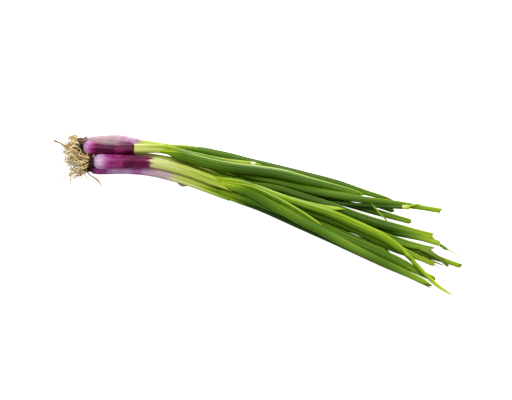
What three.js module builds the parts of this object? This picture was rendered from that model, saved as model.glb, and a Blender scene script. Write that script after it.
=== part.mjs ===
// A bunch of six red spring onions lying on a table, with their roots and their hollow green leaves.
// Millimetres, +Z up, +X from the roots to the leaf tips. The table is Z = 0, and the origin is on it,
// under the middle of the bunch.
//
// Each onion is a few strands: a stem that swells into the bulb, a tuft of roots behind it, and the
// leaves that go on from the stem's neck. A strand starts on a route chosen by hand. Then the heap
// settles: strands that share a space push each other apart, and the table holds them up, so that
// they lie side by side and on each other without cutting in.

import * as THREE from 'three';

// ---------------------------------------------------------------- driving dimensions

const CLEARANCE = 0.5;        // gap between two strands that touch
const LEAF_START = 2.1;       // radius of a leaf where it leaves the neck
const LEAF_WIDENS = 45;       // length over which it reaches its full radius, unless it says
const NECK_SPREAD = 2.75;     // distance of each leaf's middle from the middle of the neck
const PLATE_RADIUS = 3.2;     // the root plate, where the bulb and its roots meet
const ROOTS_START = 2.6;      // radius of a root tuft at the plate
const ROOTS_END = 2.2;        // and at its ragged end
const GROWTH_GAP = 0.9;       // between a stem's end and what grows from it, at a slight angle
const ROOTS_STRAIGHT = 5;     // how far the tuft goes straight on from the bulb
const PRESSED = 0.92;         // height of a resting strand's middle, as a share of its radius

const LEAF_FLATNESS = 0.74;   // height over width of a leaf's section
const ROUND_UNTIL = 60;       // stems are round up to this X
const FLAT_FROM = 150;        // and everything beyond this X has the leaves' flatness

// settling
const BEAD_SPACING = 4;
const ROUNDS = 260;
const FREE_ROUNDS = 120;      // last rounds, which only push apart
const STIFFNESS = 0.5;        // how much a bead's shift follows its neighbours' shifts

// ---------------------------------------------------------------- the six onions
// Routes run from the root plate to the neck, and from the neck to a leaf's tip. A bulb is widest
// `at` this distance from the plate and has become the stem by `end`. A leaf's `side` says where it
// leaves the neck, in degrees: 0 is the +Y side and 90 the top. `taper` is the length of its tip.

const ONIONS = [
  { // at the back, on the second layer
    name: 'onion_1',
    stem: [[-10, 11, 18], [6, 15, 19], [24, 20, 21], [45, 25, 20.5], [79, 34, 18]],
    bulb: { radius: 7.6, at: 34, end: 85 },
    radius: 4.2,
    roots: { end: [-34, 12, 17], radius: 6 },
    leaves: [
      {
        side: 90, radius: 4.5, taper: 70, tip: 0.7,
        route: [
          [104, 41, 20], [129, 44, 19], [154, 43, 19], [205, 46, 17], [245, 46, 16],
          [271, 45, 14], [299, 46, 12],
        ],
      },
      {
        side: 330, radius: 3.2, taper: 12, tip: 1.8,
        route: [[110, 44, 14], [154, 48, 11], [205, 47, 8], [257, 43, 6], [302, 39, 5]],
      },
      {
        side: 210, radius: 3.2, taper: 12, tip: 2,
        route: [[113, 38, 8], [166, 39, 6], [230, 34, 5], [280, 32, 5], [321, 32, 4]],
      },
    ],
  },
  { // on top of the heap
    name: 'onion_2',
    stem: [[0, -3, 27], [24, 2, 27], [50, 15, 25], [76, 25, 24]],
    bulb: { radius: 6, at: 8, end: 30 },
    radius: 4.5,
    roots: { end: [-26, -6, 22], radius: 6 },
    leaves: [
      {
        side: 180, radius: 5.4, taper: 80, tip: 0.8,
        route: [
          [100, 23, 23], [130, 24, 22], [160, 28, 21], [189, 33, 20], [219, 35, 18],
          [248, 39, 16], [273, 42, 14],
        ],
      },
      {
        side: 60, radius: 1.9, taper: 20, tip: 1.2,
        route: [[99, 26, 26], [129, 28, 25], [160, 34, 25]],
      },
      {
        side: 300, radius: 3, taper: 40, tip: 1.2,
        route: [
          [113, 32, 15], [149, 30, 9], [196, 28, 6.5], [244, 21, 6], [305, 13, 6],
          [335, 11, 6], [361, 9, 5],
        ],
      },
    ],
  },
  { // in front, leaning out over the fourth
    name: 'onion_3',
    stem: [[13, -11, 19], [37, -3, 19], [64, 8, 17.5], [94, 11, 16], [140, 8, 15]],
    bulb: { radius: 7, at: 8, end: 70 },
    radius: 5.2,
    roots: { end: [-12, -20, 14], radius: 6.5 },
    leaves: [
      {
        side: 330, radius: 5, widens: 150, taper: 120, tip: 0.5,
        route: [
          [163, 13, 17], [188, 8, 18], [219, 5, 18.5], [249, 3, 17], [280, -2, 15],
          [306, -7, 13], [327, -15, 10], [345, -27, 7], [363, -38, 5], [380, -43, 3],
        ],
      },
      {
        side: 210, radius: 4.6, taper: 140, tip: 1.2,
        route: [
          [158, 7, 17], [175, 3, 17.5], [202, -4, 16.5], [224, -11, 16], [246, -16, 14],
          [267, -22, 12], [293, -27, 9], [323, -32, 6], [358, -37, 4],
        ],
      },
      {
        side: 90, radius: 3, taper: 70, tip: 0.5,
        route: [[151, 11, 20], [169, 8, 20.5], [195, 1, 19.5], [223, -7, 17.5], [247, -15, 15.5]],
      },
    ],
  },
  { // on the table in front
    name: 'onion_4',
    stem: [[6, -9, 7], [34, 1, 7], [63, 7, 7], [95, 8, 6.5], [144, 4, 6]],
    bulb: { radius: 6.6, at: 9, end: 60 },
    radius: 5,
    roots: { end: [-18, -16, 6], radius: 6.5 },
    leaves: [
      {
        side: 210, radius: 3.8, taper: 30, tip: 1.4,
        route: [[170, 2, 4], [213, -5, 4], [265, -15, 3.5], [317, -28, 3], [358, -38, 3]],
      },
      {
        side: 90, radius: 4, taper: 30, tip: 1.4,
        route: [[170, 1, 11], [212, -3, 8], [265, -13, 6], [315, -20, 5], [360, -30, 4]],
      },
      {
        side: 330, radius: 3.3, taper: 14, tip: 2,
        route: [[171, 12, 5], [220, 3, 5], [273, -9, 5], [313, -14, 4], [342, -16, 4]],
      },
    ],
  },
  { // a thin one in the core of the bunch
    name: 'onion_5',
    stem: [[1, -2, 14], [40, 13, 14], [59, 18, 13.5], [89, 22, 12.5], [112, 24, 12]],
    bulb: { radius: 5, at: 9, end: 40 },
    radius: 3.9,
    roots: { end: [-24, -4, 12], radius: 5 },
    leaves: [
      {
        side: 60, radius: 4.2, taper: 90, tip: 2.2,
        route: [
          [157, 23, 15], [182, 25, 15], [212, 26, 15], [250, 31, 15], [278, 36, 14],
          [306, 42, 13], [344, 50, 10],
        ],
      },
      {
        side: 180, radius: 4.6, taper: 40, tip: 2.6,
        route: [
          [154, 17, 14], [184, 19, 14], [214, 19, 14], [245, 17, 13], [276, 13, 12],
          [305, 12, 11], [346, 17, 7],
        ],
      },
      {
        side: 300, radius: 2.3, taper: 40, tip: 0.5,
        route: [[149, 20, 13], [185, 16, 13], [217, 12, 14], [241, 14, 13], [261, 18, 13]],
      },
    ],
  },
  { // on the table at the back
    name: 'onion_6',
    stem: [[-4, 3, 6.5], [28, 14, 6.5], [65, 22, 5.5], [115, 23, 5.5]],
    bulb: { radius: 6.4, at: 9, end: 50 },
    radius: 4.6,
    roots: { end: [-28, 0, 6], radius: 6 },
    leaves: [
      {
        side: 330, radius: 3.9, taper: 14, tip: 2.4,
        route: [[153, 20, 5], [216, 14, 5], [268, 7, 6], [318, 0, 6], [350, 1, 6]],
      },
      {
        side: 210, radius: 3, taper: 60, tip: 1.8,
        route: [[163, 19, 4], [227, 12, 3], [279, 5, 3], [328, 0, 3], [377, -6, 4]],
      },
      {
        side: 90, radius: 3.6, taper: 30, tip: 1.4,
        route: [[166, 13, 9], [219, 6, 11], [270, 0, 11], [322, -11, 8], [355, -14, 4]],
      },
    ],
  },
];

// Remains of old outer leaves, crumpled between the bulbs and the roots.
const OLD_SKINS = [
  { name: 'old_skin_1', route: [[-8, -2, 30], [-6, -6, 24], [-1, -9, 18]], radius: 2.6 },
  { name: 'old_skin_2', route: [[2, -12, 17], [7, -15, 13], [13, -16, 8]], radius: 2.4 },
];

// What a kind of strand is made of, and the facets of its surface. Rings crowd towards a stem's bulb,
// and an old skin is a flat ribbon.
const LOOKS = {
  stem: {
    material: new THREE.MeshStandardMaterial({ color: 0x8c3f78, roughness: 0.4 }),
    sides: 12, steps: 15, crowding: 1.5, thickness: 1,
  },
  leaf: {
    material: new THREE.MeshStandardMaterial({ color: 0x5b8f2b, roughness: 0.45 }),
    sides: 8, steps: 17, crowding: 1, thickness: 1,
  },
  roots: {
    material: new THREE.MeshStandardMaterial({ color: 0xd8c08a, roughness: 0.85 }),
    sides: 8, steps: 6, crowding: 1, thickness: 1,
  },
  old_skin: {
    material: new THREE.MeshStandardMaterial({ color: 0x4b3530, roughness: 0.8 }),
    sides: 8, steps: 5, crowding: 1, thickness: 0.4,
  },
};

// ---------------------------------------------------------------- radii

const { clamp, smoothstep, lerp, degToRad } = THREE.MathUtils;

// The stem's radius: a dome from the root plate to the bulb's widest place, then an easy neck.
const stemRadius = ({ bulb, radius }) => (along) => {
  if (along < bulb.at) return lerp(PLATE_RADIUS, bulb.radius, Math.sqrt(1 - (1 - along / bulb.at) ** 2));
  return lerp(bulb.radius, radius, smoothstep(along, bulb.at, bulb.end));
};

// A leaf widens from the neck, keeps its radius, and narrows to its tip as a parabola does.
const leafRadius = ({ radius, widens = LEAF_WIDENS, taper, tip }) => (along, length) => {
  const widened = lerp(LEAF_START, radius, smoothstep(along, 0, widens));
  const left = clamp((length - along) / taper, 0, 1);
  return Math.min(widened, lerp(tip, radius, Math.sqrt(left)));
};

// A root tuft bulges between the plate and its ragged end.
const rootsRadius = ({ radius }) => (along, length) => {
  const share = along / length;
  return lerp(ROOTS_START, ROOTS_END, share) + (radius - ROOTS_START) * Math.sin(Math.PI * share);
};

// ---------------------------------------------------------------- strands

// Height over width of a section at X. The heap settles in a space whose heights are divided by
// this, where every section is a circle, and the finished surfaces are multiplied by it again.
const flatness = (x) => lerp(1, LEAF_FLATNESS, smoothstep(x, ROUND_UNTIL, FLAT_FROM));
const stretched = ([x, y, z]) => new THREE.Vector3(x, y, z / flatness(x));

// Evenly spaced beads on a smooth curve through the points, from point number `first` on.
function beadsAlong(points, first) {
  const divisions = 40;
  const fine = new THREE.CatmullRomCurve3(points).getPoints(divisions * (points.length - 1));
  const path = new THREE.CurvePath();
  for (let i = divisions * first + 1; i < fine.length; i++) {
    path.add(new THREE.LineCurve3(fine[i - 1], fine[i]));
  }
  const length = path.getLength();
  const beads = path.getSpacedPoints(Math.max(3, Math.round(length / BEAD_SPACING)));
  return { beads, length };
}

// A strand's shifts are how far settling has moved its beads from the route. The first bead of one
// that grows from a stem follows that stem's end.
function makeStrand(name, points, radiusAt, look, { first = 0, from = null } = {}) {
  const { beads, length } = beadsAlong(points, first);
  return {
    name, length, from, ...look,
    route: beads,
    radiusAt: (along) => radiusAt(along, length),
    radii: beads.map((_, i) => radiusAt(length * i / (beads.length - 1), length)),
    shifts: beads.map(() => new THREE.Vector3()),
  };
}

// Where a leaf leaves the neck: beside the stem's middle line, just past its end.
function leafStart(neck, before, side) {
  const along = neck.clone().sub(before).normalize();
  const across = new THREE.Vector3(0, 0, 1).cross(along).normalize();
  const up = along.clone().cross(across);
  return neck.clone()
    .addScaledVector(along, GROWTH_GAP)
    .addScaledVector(across, NECK_SPREAD * Math.cos(degToRad(side)))
    .addScaledVector(up, NECK_SPREAD * Math.sin(degToRad(side)));
}

function onionStrands(onion) {
  const route = onion.stem.map(stretched);
  const stem = makeStrand(`${onion.name}_stem`, route, stemRadius(onion), LOOKS.stem);

  const [base, next] = route;
  const backwards = (distance) => base.clone().add(base.clone().sub(next).setLength(distance));
  const roots = makeStrand(`${onion.name}_roots`,
    [backwards(GROWTH_GAP), backwards(GROWTH_GAP + ROOTS_STRAIGHT), stretched(onion.roots.end)],
    rootsRadius(onion.roots), LOOKS.roots, { from: { stem, end: 0 } });

  const [before, neck] = route.slice(-2);
  const leaves = onion.leaves.map((leaf, i) => makeStrand(`${onion.name}_leaf_${i + 1}`,
    [before, leafStart(neck, before, leaf.side), ...leaf.route.map(stretched)],
    leafRadius(leaf), LOOKS.leaf, { first: 1, from: { stem, end: stem.route.length - 1 } }));
  return [stem, roots, ...leaves];
}

// ---------------------------------------------------------------- settling

const place = (strand, i) => strand.route[i].clone().add(strand.shifts[i]);

// Pairs of strands that may push each other: all but a stem and what grows from it.
function pushingPairs(strands) {
  return strands.flatMap((a, i) => strands.slice(i + 1)
    .filter((b) => a.from?.stem !== b && b.from?.stem !== a)
    .map((b) => [a, b]));
}

// Moves each pair of beads that are too close apart, half each, along the line between them.
function pushApart(a, b) {
  const placesB = b.route.map((_, j) => place(b, j));
  for (let i = 0; i < a.route.length; i++) {
    const p = place(a, i);
    for (let j = 0; j < placesB.length; j++) {
      const reach = a.radii[i] + b.radii[j] + CLEARANCE;
      if (Math.abs(p.x - placesB[j].x) > reach) continue;
      const gap = p.clone().sub(placesB[j]);
      const missing = reach - gap.length();
      if (missing <= 0) continue;
      gap.setLength(missing / 2);
      a.shifts[i].add(gap);
      b.shifts[j].sub(gap);
      placesB[j].sub(gap);
      p.add(gap);
    }
  }
}

// Evens out the shifts along a strand, as its stiffness does, and keeps its route's own curve.
function straighten(strand, stiffness) {
  const { shifts } = strand;
  const before = shifts.map((shift) => shift.clone());
  for (let i = 0; i < shifts.length; i++) {
    const mean = before[Math.max(0, i - 1)].clone().add(before[Math.min(shifts.length - 1, i + 1)]);
    shifts[i].lerp(mean.multiplyScalar(0.5), stiffness);
  }
}

// Keeps what grows from a stem at its end: both take the mean of their shifts.
function rejoin({ from, shifts }) {
  const end = from.stem.shifts[from.end];
  shifts[0].copy(end.lerp(shifts[0], 0.5));
}

function settle(strands) {
  const pairs = pushingPairs(strands);
  const grown = strands.filter((strand) => strand.from);
  for (let round = 0; round < ROUNDS; round++) {
    const stiffness = STIFFNESS * clamp((ROUNDS - FREE_ROUNDS - round) / (ROUNDS - FREE_ROUNDS), 0, 1);
    for (const [a, b] of pairs) pushApart(a, b);
    for (const strand of strands) {
      if (stiffness > 0) straighten(strand, stiffness);
      strand.route.forEach((bead, i) => {
        const lowest = PRESSED * strand.radii[i] - bead.z;
        strand.shifts[i].z = Math.max(strand.shifts[i].z, lowest);
      });
    }
    grown.forEach(rejoin);
    grown.forEach(({ from, shifts }) => shifts[0].copy(from.stem.shifts[from.end]));
  }
}

// ---------------------------------------------------------------- surfaces

// A closed tube round the settled beads: a unit cylinder whose rings are carried along the strand.
// Rings stand upright across it, so a facet faces the table, and no point goes below the table.
function strandGeometry({ route, shifts, length, radiusAt, sides, steps, crowding, thickness }) {
  const curve = new THREE.CatmullRomCurve3(route.map((bead, i) => bead.clone().add(shifts[i])));
  const geometry = new THREE.CylinderGeometry(1, 1, 1, sides, steps, false, Math.PI / sides);
  const points = geometry.getAttribute('position');
  const point = new THREE.Vector3();
  for (let i = 0; i < points.count; i++) {
    point.fromBufferAttribute(points, i);
    const share = (0.5 - point.y) ** crowding;
    const along = curve.getTangent(share);
    const across = new THREE.Vector3(0, 0, 1).cross(along).normalize();
    const up = along.clone().cross(across);
    const radius = radiusAt(share * length);
    const at = curve.getPoint(share)
      .addScaledVector(across, radius * point.x)
      .addScaledVector(up, radius * thickness * point.z);
    points.setXYZ(i, at.x, at.y, Math.max(0, at.z * flatness(at.x)));
  }
  geometry.computeVertexNormals();
  return geometry;
}

function strandMesh(strand) {
  const mesh = new THREE.Mesh(strandGeometry(strand), strand.material);
  mesh.name = strand.name;
  return mesh;
}

// ---------------------------------------------------------------- the bunch

const skinStrand = ({ name, route, radius }) => (
  makeStrand(name, route.map(stretched), () => radius, LOOKS.old_skin)
);

const strands = [...ONIONS.flatMap(onionStrands), ...OLD_SKINS.map(skinStrand)];
settle(strands);

const bunch = new THREE.Group();
bunch.add(...strands.map(strandMesh));

const box = new THREE.Box3().setFromObject(bunch);
const middle = box.getCenter(new THREE.Vector3());
bunch.position.set(-middle.x, -middle.y, -box.min.z);

export default bunch;
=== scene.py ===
# %% [markdown]
# # A bunch of red spring onions
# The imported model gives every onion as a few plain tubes: a stem with its bulb, a root tuft and three
# leaves. They have the right place and size, and no detail. Here each one is drawn again as a fine
# surface on the same centre line, so the bunch keeps its shape and gains its skin, veins, torn ends
# and roots.

# %% Load the frame
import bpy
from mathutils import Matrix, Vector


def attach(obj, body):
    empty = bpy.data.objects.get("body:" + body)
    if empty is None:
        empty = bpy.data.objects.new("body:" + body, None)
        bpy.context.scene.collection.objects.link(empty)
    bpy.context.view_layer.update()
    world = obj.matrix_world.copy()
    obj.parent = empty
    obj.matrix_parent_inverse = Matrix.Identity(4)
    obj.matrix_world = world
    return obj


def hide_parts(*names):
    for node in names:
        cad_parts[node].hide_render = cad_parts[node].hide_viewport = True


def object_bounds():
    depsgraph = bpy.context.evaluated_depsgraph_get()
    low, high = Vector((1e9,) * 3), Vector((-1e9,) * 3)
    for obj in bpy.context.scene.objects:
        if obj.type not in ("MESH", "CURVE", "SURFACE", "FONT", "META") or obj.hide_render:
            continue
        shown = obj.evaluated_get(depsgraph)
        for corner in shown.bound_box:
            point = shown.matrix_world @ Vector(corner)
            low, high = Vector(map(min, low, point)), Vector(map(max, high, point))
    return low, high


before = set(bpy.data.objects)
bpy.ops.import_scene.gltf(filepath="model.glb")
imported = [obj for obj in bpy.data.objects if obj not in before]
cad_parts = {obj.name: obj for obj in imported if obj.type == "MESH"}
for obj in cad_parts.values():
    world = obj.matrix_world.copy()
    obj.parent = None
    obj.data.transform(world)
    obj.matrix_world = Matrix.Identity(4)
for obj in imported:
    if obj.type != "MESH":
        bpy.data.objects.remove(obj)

from types import SimpleNamespace

import bpy
import numpy as np
from mathutils import Vector

CAD_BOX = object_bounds()
MM, OFF_TABLE = 0.001, 0.00005
print("CAD box in mm:", [[round(c / MM, 1) for c in corner] for corner in CAD_BOX])

# %% [markdown]
# ## Camera
# A long lens from well above the table gives the calm, nearly parallel view of a plant catalogue.
# The camera is placed by a direction and a distance from the point it looks at, which is easier to
# think in than a position and three angles.

# %% Camera
AZIMUTH, ELEVATION, DISTANCE = np.radians(20.5), np.radians(45.0), 1.150

low, high = (np.array(corner) for corner in CAD_BOX)
look_at = np.array([(low[0] + high[0]) / 2 + 2.8 * MM, (low[1] + high[1]) / 2 - 2.0 * MM, 10 * MM])
level = np.cos(ELEVATION)
back = np.array([np.sin(AZIMUTH) * level, -np.cos(AZIMUTH) * level, np.sin(ELEVATION)])

lens = bpy.data.cameras.new("camera")
lens.lens, lens.sensor_width = 85, 36
lens.clip_start, lens.clip_end = 0.05, 20
camera = bpy.data.objects.new("camera", lens)
camera.location = look_at + back * DISTANCE
camera.rotation_euler = Vector(-back).to_track_quat("-Z", "Y").to_euler()
bpy.context.scene.collection.objects.link(camera)
bpy.context.scene.camera = camera
print("camera at", [round(c, 3) for c in camera.location])

# %% [markdown]
# ## Reading a strand
# A CAD node is loose triangles. Welded, each strand is a stack of rings between two poles. The poles
# are the points where the most triangles meet. Counting steps from the first pole numbers the rings,
# and the mean of a ring is a point of the centre line. For points spread evenly on an ellipse, the
# mean of x squared is half its half-width squared, which gives the width and the height.

# %% Rings of a strand
def unit(vectors):
    """Each row divided by its length."""
    return vectors / np.linalg.norm(vectors, axis=-1, keepdims=True)


def welded(node):
    """The node's distinct points, and its triangles as triples of point numbers."""
    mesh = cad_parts[node].data
    points = np.empty(len(mesh.vertices) * 3, np.float32)
    corners = np.empty(len(mesh.loops), np.int32)
    mesh.vertices.foreach_get("co", points)
    mesh.loops.foreach_get("vertex_index", corners)
    distinct, number = np.unique(points.reshape(-1, 3), axis=0, return_inverse=True)
    return distinct.astype(float), number.ravel()[corners].reshape(-1, 3)


def ring_numbers(points, triangles, first_pole):
    """Steps along edges from the first pole: 0 at the pole, then 1, 2, 3 for each ring after it."""
    sides = [triangles[:, pair] for pair in ([0, 1], [1, 2], [2, 0])]
    edges = np.unique(np.sort(np.vstack(sides)), axis=0)
    steps = np.full(len(points), -1)
    steps[first_pole] = 0
    while (steps < 0).any():
        reached = steps[edges] >= 0
        for near, far in ((0, 1), (1, 0)):
            fresh = edges[reached[:, near] & ~reached[:, far]]
            steps[fresh[:, far]] = steps[fresh[:, near]] + 1
    return steps


def read_strand(node, starts_at_low_x=True):
    """Centre line, half-width, half-height and distance from the start, ring by ring."""
    points, triangles = welded(node)
    poles = np.argsort(np.bincount(triangles.ravel()))[-2:]
    poles = poles[np.argsort(points[poles, 0])]
    first = poles[0] if starts_at_low_x else poles[1]
    steps = ring_numbers(points, triangles, first)
    steps[poles] = -1
    rings = [points[steps == k] for k in range(1, steps.max() + 1)]
    centre = np.array([ring.mean(axis=0) for ring in rings])
    across, up = frames_of(centre)
    width = np.array([np.sqrt(2 * np.mean(((r - c) @ a) ** 2)) for r, c, a in zip(rings, centre, across)])
    height = np.array([np.sqrt(2 * np.mean(((r - c) @ u) ** 2)) for r, c, u in zip(rings, centre, up)])
    return SimpleNamespace(centre=centre, width=width, height=height, along=distances(centre))


def frames_of(centre):
    """Unit vectors at each point of a line: across is level, and up is square to it and to the line."""
    along = unit(np.gradient(centre, axis=0))
    across = unit(np.cross([0, 0, 1], along))
    return across, np.cross(along, across)


def distances(centre):
    """Running length of a line through the points."""
    return np.concatenate([[0], np.cumsum(np.linalg.norm(np.diff(centre, axis=0), axis=1))])


ONIONS = range(1, 7)
STEMS = {n: read_strand(f"onion_{n}_stem") for n in ONIONS}
LEAVES = {(n, k): read_strand(f"onion_{n}_leaf_{k}") for n in ONIONS for k in (1, 2, 3)}
TUFTS = {n: read_strand(f"onion_{n}_roots", starts_at_low_x=False) for n in ONIONS}
for n in ONIONS:
    lengths = [round(LEAVES[n, k].along[-1] / MM) for k in (1, 2, 3)]
    print(f"onion {n}: stem {STEMS[n].along[-1] / MM:.0f} mm, leaves {lengths} mm")

# %% [markdown]
# ## Between the rings
# The rings stand up to 15 mm apart. A cubic through them gives the line and the sizes everywhere in
# between, and its end slopes carry the line straight on past its ends, where a ragged edge may reach.

# %% Smooth values along a strand
def smooth(knots, values, at):
    """Cubic through the values at the knots, slopes from the neighbours; straight on beyond the ends."""
    at = np.asarray(at, float)
    slopes = np.gradient(values, knots, axis=0)
    i = np.clip(np.searchsorted(knots, at) - 1, 0, len(knots) - 2)
    shape = at.shape + (1,) * (values.ndim - 1)
    gap = (knots[i + 1] - knots[i]).reshape(shape)
    inside = np.clip(at, knots[0], knots[-1])
    t = (inside - knots[i]).reshape(shape) / gap
    curve = ((1 + 2 * t) * (1 - t) ** 2 * values[i] + t * (1 - t) ** 2 * gap * slopes[i]
             + t * t * (3 - 2 * t) * values[i + 1] + t * t * (t - 1) * gap * slopes[i + 1])
    before = np.minimum(at - knots[0], 0).reshape(shape)
    after = np.maximum(at - knots[-1], 0).reshape(shape)
    return curve + before * slopes[0] + after * slopes[-1]


def ease(x, start, end):
    """0 before start, 1 after end, and a smooth S between."""
    t = np.clip((np.asarray(x, float) - start) / (end - start), 0, 1)
    return t * t * (3 - 2 * t)


def carry(line, s, x, y):
    """Points at distance s along a line, moved x across it and y up from it, and kept off the table."""
    across, up = frames_of(line.centre)
    places = (smooth(line.along, line.centre, s)
              + x[..., None] * unit(smooth(line.along, across, s))
              + y[..., None] * unit(smooth(line.along, up, s)))
    places[..., 2] = np.maximum(places[..., 2], OFF_TABLE)
    return places


# %% [markdown]
# ## Ripples
# Plants are never quite regular. A ripple is a sum of a few waves that run round and along a strand.
# Round the strand each wave has a whole number of turns, so it closes on itself without a seam.

# %% A closed, seeded unevenness
def ripples(seed, s, around, turns=(1, 2, 3), wavelength=60 * MM):
    """Sum of cosines of (turns x around + s / wavelength + phase), one per turn count, from -1 to 1."""
    draws = np.random.default_rng(seed)
    total = 0
    for m in turns:
        rate, phase = draws.uniform(-1, 1) * 2 * np.pi / wavelength, draws.uniform(0, 2 * np.pi)
        total = total + np.cos(m * around + rate * s + phase)
    return total / len(turns)


def teeth(seed, around, turns=(2, 3, 5, 9, 14)):
    """A ragged edge round a tube: cosines with more and more turns, from -1 to 1."""
    draws = np.random.default_rng(seed)
    return sum(np.cos(m * around + draws.uniform(0, 2 * np.pi)) for m in turns) / len(turns)


# %% [markdown]
# ## From a grid to a mesh
# Every surface is a grid of points. A tube's columns close on themselves, and a pole closes each end.
# A sheet is given a second layer and a rim, so that it has a real thickness and an outside all round.

# %% Grids to closed meshes
def tube_faces(rows, columns):
    """Quads of a tube whose columns close, and triangle fans to the two poles that follow its points."""
    i, j = np.meshgrid(np.arange(rows - 1), np.arange(columns), indexing="ij")
    k = (j + 1) % columns
    quads = np.stack([i * columns + j, i * columns + k, (i + 1) * columns + k, (i + 1) * columns + j], -1)
    j = np.arange(columns)
    k = (j + 1) % columns
    first, last = rows * columns, rows * columns + 1
    start = np.stack([np.full(columns, first), k, j], -1)
    end = np.stack([np.full(columns, last), (rows - 1) * columns + j, (rows - 1) * columns + k], -1)
    return quads.reshape(-1, 4), np.vstack([start, end])


def with_poles(grid):
    """The grid's points as rows, and then the means of its first and last row."""
    return np.vstack([grid.reshape(-1, grid.shape[-1]), grid[0].mean(axis=0), grid[-1].mean(axis=0)])


def sheet_faces(rows, columns):
    """Quads of two layers of a sheet, back to back, and of the rim between them."""
    i, j = np.meshgrid(np.arange(rows - 1), np.arange(columns - 1), indexing="ij")
    corner, below = i * columns + j, (i + 1) * columns + j
    front = np.stack([corner, below, below + 1, corner + 1], -1).reshape(-1, 4)
    edge = np.concatenate([np.arange(columns), np.arange(1, rows) * columns + columns - 1,
                           (rows - 1) * columns + np.arange(columns - 2, -1, -1),
                           np.arange(rows - 2, 0, -1) * columns])
    following = np.roll(edge, -1)
    other = rows * columns
    rim = np.stack([edge, following, following + other, edge + other], -1)
    return np.vstack([front, front[:, ::-1] + other, rim])


def make_mesh(name, points, faces, attributes=None, smooth_faces=True):
    """A mesh object at the origin from points, quads or triangles, and one value or vector per point."""
    mesh = bpy.data.meshes.new(name)
    mesh.from_pydata(points.tolist(), [], [face for group in faces for face in group.tolist()])
    mesh.polygons.foreach_set("use_smooth", np.full(len(mesh.polygons), smooth_faces))
    for key, values in (attributes or {}).items():
        kind, part = ("FLOAT_VECTOR", "vector") if values.ndim == 2 else ("FLOAT", "value")
        painted = mesh.attributes.new(key, kind, "POINT")
        painted.data.foreach_set(part, values.astype(np.float32).ravel())
    mesh.update()
    thing = bpy.data.objects.new(name, mesh)
    bpy.context.scene.collection.objects.link(thing)
    return thing


FINISHES = {}


def add_piece(name, points, faces, slot, replaced=(), **attributes):
    """Makes a piece of the bunch with its slot's finish, parents it to the root body, and hides the plain
    parts it stands for.
    """
    piece = make_mesh(name, points, faces, attributes)
    piece.data.materials.append(FINISHES[slot])
    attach(piece, "root")
    if replaced:
        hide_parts(*replaced)
    return piece


def add_tube(name, grid, straight, slot, replaced=(), **fields):
    """A closed tube piece: its points, its straightened coordinates, and its painted fields."""
    rows, columns = grid.shape[:2]
    for key, value in fields.items():
        fields[key] = with_poles(np.broadcast_to(value, (rows, columns))[..., None])[:, 0]
    return add_piece(name, with_poles(grid), tube_faces(rows, columns), slot, replaced,
                     straight=with_poles(straight), **fields)


# %% [markdown]
# ## Colours and node tools
# Colours are written as the eye sees them, from 0 to 255, and turned into the linear values that the
# renderer needs. A few small helpers keep the materials short. The first adds a node and sets its
# sockets, and the others are the steps that every material here is made of.

# %% Node helpers
def linear(red, green, blue):
    """A display colour from 0 to 255 as linear light, with full opacity."""
    c = np.array([red, green, blue]) / 255
    return (*np.where(c <= 0.04045, c / 12.92, ((c + 0.055) / 1.055) ** 2.4), 1.0)


def add_node(tree, kind, **settings):
    """A node of a kind. A setting is one of its properties, or a socket by its name or by _number."""
    node = tree.nodes.new(kind)
    for key, value in settings.items():
        if hasattr(node, key) and key.islower():
            setattr(node, key, value)
            continue
        socket = node.inputs[int(key[1:])] if key[0] == "_" else node.inputs[key.replace("_", " ")]
        if isinstance(value, bpy.types.NodeSocket):
            tree.links.new(value, socket)
        else:
            socket.default_value = value
    return node


def arithmetic(tree, operation, a, b=0.0, clamp=False):
    """One step of arithmetic on values."""
    return add_node(tree, "ShaderNodeMath", operation=operation, use_clamp=clamp, _0=a, _1=b).outputs[0]


def offset(tree, value, *noises):
    """A value plus each noise of mean one half, moved to a mean of zero, times its amount."""
    for noise, amount in noises:
        centred = arithmetic(tree, "SUBTRACT", noise, 0.5)
        value = arithmetic(tree, "ADD", value, arithmetic(tree, "MULTIPLY", centred, amount))
    return value


def rescale(tree, value, low, high, start=0.0, end=1.0):
    """A straight line from low at start to high at end, held level beyond them."""
    node = add_node(tree, "ShaderNodeMapRange", Value=value, From_Min=start, From_Max=end,
                    To_Min=low, To_Max=high)
    return node.outputs[0]


def ramp(tree, value, stops):
    """Colours along a value, from (position, colour) pairs."""
    node = add_node(tree, "ShaderNodeValToRGB", Fac=value)
    elements = node.color_ramp.elements
    while len(elements) < len(stops):
        elements.new(0.5)
    for element, (position, colour) in zip(elements, stops):
        element.position, element.color = position, colour
    return node.outputs["Color"]


def blend(tree, factor, first, second):
    """Mixes two colours by a factor."""
    return add_node(tree, "ShaderNodeMix", data_type="RGBA", _0=factor, _6=first, _7=second).outputs[2]


def field(tree, name):
    """A painted field of the mesh, one value per point."""
    return add_node(tree, "ShaderNodeAttribute", attribute_name=name).outputs["Fac"]


# %% Materials and their shader
def new_material(name):
    """An empty node material with its Principled shader."""
    material = bpy.data.materials.new(name)
    material.use_nodes = True
    tree = material.node_tree
    tree.nodes.clear()
    shader = tree.nodes.new("ShaderNodeBsdfPrincipled")
    output = tree.nodes.new("ShaderNodeOutputMaterial")
    tree.links.new(shader.outputs[0], output.inputs[0])
    return material, tree, shader


def finish_surface(tree, shader, colour, roughness, height, strength, distance):
    """Feeds colour and roughness to the shader, and a height to its normal through a bump."""
    bump = add_node(tree, "ShaderNodeBump", Height=height, Strength=strength, Distance=distance)
    for name, output in (("Base Color", colour), ("Roughness", roughness), ("Normal", bump.outputs[0])):
        tree.links.new(output, shader.inputs[name])


def set_constants(shader, **values):
    """Numbers that are the same all over the surface, on the shader's own sockets."""
    for key, value in values.items():
        shader.inputs[key.replace("_", " ")].default_value = value


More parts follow.
